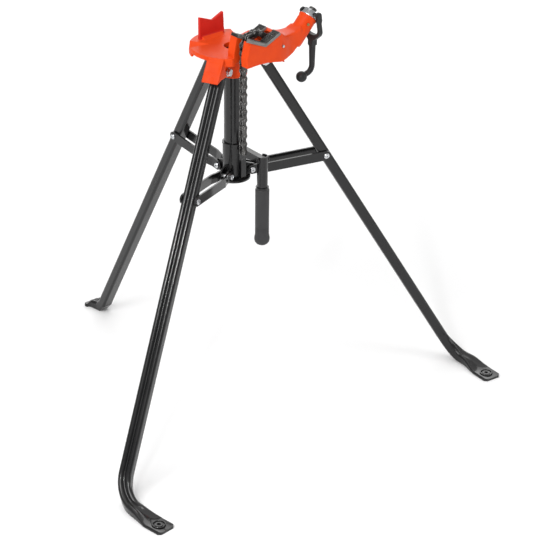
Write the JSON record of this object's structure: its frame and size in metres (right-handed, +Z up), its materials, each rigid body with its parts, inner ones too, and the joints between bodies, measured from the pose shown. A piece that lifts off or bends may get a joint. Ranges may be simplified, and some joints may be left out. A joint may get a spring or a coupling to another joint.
{
  "type": "tripod pipe vise stand",
  "caption": "Folding tripod stand with a cast head that carries a chain vise, a rear pipe rest and bending grooves, and bent tube legs braced to a sliding sleeve.",
  "frame": {"origin": "on the floor, at the middle of the stand's footprint box", "axes": "+Z up, +Y along a pipe held in the vise and towards the single rear leg, +X towards the vise screw"},
  "size_m": [1.042, 0.9258, 0.9282],
  "materials": {
    "head_red": "orange-red enamel on cast iron",
    "stand_black": "black powder coat",
    "forged_black": "black forged finish",
    "jaw_steel": "hardened steel, ground",
    "chain_steel": "black oxide steel",
    "zinc": "zinc plated",
    "bright_steel": "bright steel",
    "grip_rubber": "matt rubber"
  },
  "bodies": {
    "head": {"centre_post": "stand_black", "chain_seated": "chain_steel", "guide_pin": "bright_steel", "head_casting": "head_red", "jaw_screws": "bright_steel", "key_screw": "zinc", "leg_pivot_bolts": "zinc", "leg_pivot_nuts": "zinc", "leg_pivot_washers": "zinc", "post_end_plate": "stand_black", "screw_washer": "zinc", "vee_jaw_far": "jaw_steel", "vee_jaw_near": "jaw_steel"},
    "sleeve": {"slide_sleeve": "stand_black", "lever_bracket": "stand_black", "brace_bolts": "zinc", "brace_nuts": "zinc", "lever_bolt": "zinc", "lever_nut": "zinc"},
    "lever": {"lever_tube": "stand_black", "lever_collar": "grip_rubber", "lever_grip": "grip_rubber"},
    "screw": {"draw_screw": "forged_black"},
    "nut": {"draw_nut": "zinc", "nut_trunnions": "zinc"},
    "handle": {"draw_handle": "forged_black"},
    "leg_left": {"leg_left": "stand_black"},
    "brace_left": {"brace_bars_left": "stand_black", "brace_screws_left": "zinc"},
    "leg_right": {"leg_right": "stand_black"},
    "brace_right": {"brace_bars_right": "stand_black", "brace_screws_right": "zinc"},
    "leg_rear": {"leg_rear": "stand_black"},
    "brace_rear": {"brace_bars_rear": "stand_black", "brace_screws_rear": "zinc"},
    "chain_link_01": {"chain_link_01": "chain_steel"},
    "chain_link_02": {"chain_link_02": "chain_steel"},
    "chain_link_03": {"chain_link_03": "chain_steel"},
    "chain_link_04": {"chain_link_04": "chain_steel"},
    "chain_link_05": {"chain_link_05": "chain_steel"},
    "chain_link_06": {"chain_link_06": "chain_steel"},
    "chain_link_07": {"chain_link_07": "chain_steel"},
    "chain_link_08": {"chain_link_08": "chain_steel"},
    "chain_link_09": {"chain_link_09": "chain_steel"},
    "chain_link_10": {"chain_link_10": "chain_steel"},
    "chain_link_11": {"chain_link_11": "chain_steel"},
    "chain_link_12": {"chain_link_12": "chain_steel"},
    "chain_link_13": {"chain_link_13": "chain_steel"}
  },
  "joints": [
    {"name": "sleeve_slide", "type": "slide", "parent": "head", "child": "sleeve", "axis": [0, 0, 1], "range_m": [0, 0.134]},
    {"name": "leg_left_fold", "type": "hinge", "parent": "head", "child": "leg_left", "pos_m": [-0.06037, -0.1193, 0.82], "axis": [0.4011, -0.916, 0], "range_deg": [0, 21.77]},
    {"name": "brace_left_fold", "type": "hinge", "parent": "sleeve", "child": "brace_left", "pos_m": [-0.03664, -0.10891, 0.562], "axis": [0.4011, -0.916, 0], "range_deg": [0, 70.23]},
    {"name": "leg_right_fold", "type": "hinge", "parent": "head", "child": "leg_right", "pos_m": [0.06037, -0.1193, 0.82], "axis": [0.4011, 0.916, 0], "range_deg": [0, 21.77]},
    {"name": "brace_right_fold", "type": "hinge", "parent": "sleeve", "child": "brace_right", "pos_m": [0.03664, -0.10891, 0.562], "axis": [0.4011, 0.916, 0], "range_deg": [0, 70.23]},
    {"name": "leg_rear_fold", "type": "hinge", "parent": "head", "child": "leg_rear", "pos_m": [0, -0.03267, 0.82], "axis": [-1, 0, 0], "range_deg": [0, 23.96]},
    {"name": "brace_rear_fold", "type": "hinge", "parent": "sleeve", "child": "brace_rear", "pos_m": [0, -0.05287, 0.562], "axis": [-1, 0, 0], "range_deg": [0, 81.7]},
    {"name": "lever_swing", "type": "hinge", "parent": "sleeve", "child": "lever", "pos_m": [0, -0.19087, 0.618], "axis": [-1, 0, 0], "range_deg": [-10, 90]},
    {"name": "nut_spin", "type": "hinge", "parent": "head", "child": "nut", "pos_m": [0.15638, -0.16637, 0.91326], "axis": [-0.6909, 0, -0.723], "range_deg": [-30, 115]},
    {"name": "screw_slide", "type": "slide", "parent": "head", "child": "screw", "axis": [0.6909, 0, 0.723], "range_m": [-0.0006, 0.0014]},
    {"name": "handle_swing", "type": "hinge", "parent": "nut", "child": "handle", "pos_m": [0.15638, -0.16637, 0.91326], "axis": [0, -1, 0], "range_deg": [-4, 130]},
    {"name": "chain_link_01_bend", "type": "hinge", "parent": "head", "child": "chain_link_01", "pos_m": [-0.0347, -0.16637, 0.88611], "axis": [0, 1, 0], "range_deg": [-2, 15]},
    {"name": "chain_link_02_bend", "type": "hinge", "parent": "chain_link_01", "child": "chain_link_02", "pos_m": [-0.0347, -0.16637, 0.86706], "axis": [0, 1, 0], "range_deg": [-2, 15]},
    {"name": "chain_link_03_bend", "type": "hinge", "parent": "chain_link_02", "child": "chain_link_03", "pos_m": [-0.0347, -0.16637, 0.84801], "axis": [0, 1, 0], "range_deg": [-2, 15]},
    {"name": "chain_link_04_bend", "type": "hinge", "parent": "chain_link_03", "child": "chain_link_04", "pos_m": [-0.0347, -0.16637, 0.82896], "axis": [0, 1, 0], "range_deg": [-6, 15]},
    {"name": "chain_link_05_bend", "type": "hinge", "parent": "chain_link_04", "child": "chain_link_05", "pos_m": [-0.0347, -0.16637, 0.80991], "axis": [0, 1, 0], "range_deg": [-12, 15]},
    {"name": "chain_link_06_bend", "type": "hinge", "parent": "chain_link_05", "child": "chain_link_06", "pos_m": [-0.0347, -0.16637, 0.79086], "axis": [0, 1, 0], "range_deg": [-12, 15]},
    {"name": "chain_link_07_bend", "type": "hinge", "parent": "chain_link_06", "child": "chain_link_07", "pos_m": [-0.0347, -0.16637, 0.77181], "axis": [0, 1, 0], "range_deg": [-12, 15]},
    {"name": "chain_link_08_bend", "type": "hinge", "parent": "chain_link_07", "child": "chain_link_08", "pos_m": [-0.0347, -0.16637, 0.75276], "axis": [0, 1, 0], "range_deg": [-12, 15]},
    {"name": "chain_link_09_bend", "type": "hinge", "parent": "chain_link_08", "child": "chain_link_09", "pos_m": [-0.0347, -0.16637, 0.73371], "axis": [0, 1, 0], "range_deg": [-12, 15]},
    {"name": "chain_link_10_bend", "type": "hinge", "parent": "chain_link_09", "child": "chain_link_10", "pos_m": [-0.0347, -0.16637, 0.71466], "axis": [0, 1, 0], "range_deg": [-12, 15]},
    {"name": "chain_link_11_bend", "type": "hinge", "parent": "chain_link_10", "child": "chain_link_11", "pos_m": [-0.0347, -0.16637, 0.69561], "axis": [0, 1, 0], "range_deg": [-12, 15]},
    {"name": "chain_link_12_bend", "type": "hinge", "parent": "chain_link_11", "child": "chain_link_12", "pos_m": [-0.0347, -0.16637, 0.67656], "axis": [0, 1, 0], "range_deg": [-12, 15]},
    {"name": "chain_link_13_bend", "type": "hinge", "parent": "chain_link_12", "child": "chain_link_13", "pos_m": [-0.0347, -0.16637, 0.65751], "axis": [0, 1, 0], "range_deg": [-12, 15]}
  ],
  "couplings": [
    {"joint": "leg_left_fold", "follows": "sleeve_slide", "rad_per_m": 2.8342},
    {"joint": "brace_left_fold", "follows": "sleeve_slide", "rad_per_m": 9.1466},
    {"joint": "leg_right_fold", "follows": "sleeve_slide", "rad_per_m": 2.8342},
    {"joint": "brace_right_fold", "follows": "sleeve_slide", "rad_per_m": 9.1466},
    {"joint": "leg_rear_fold", "follows": "sleeve_slide", "rad_per_m": 3.1205},
    {"joint": "brace_rear_fold", "follows": "sleeve_slide", "rad_per_m": 10.641},
    {"joint": "screw_slide", "follows": "nut_spin", "m_per_rad": 0.00063662}
  ]
}
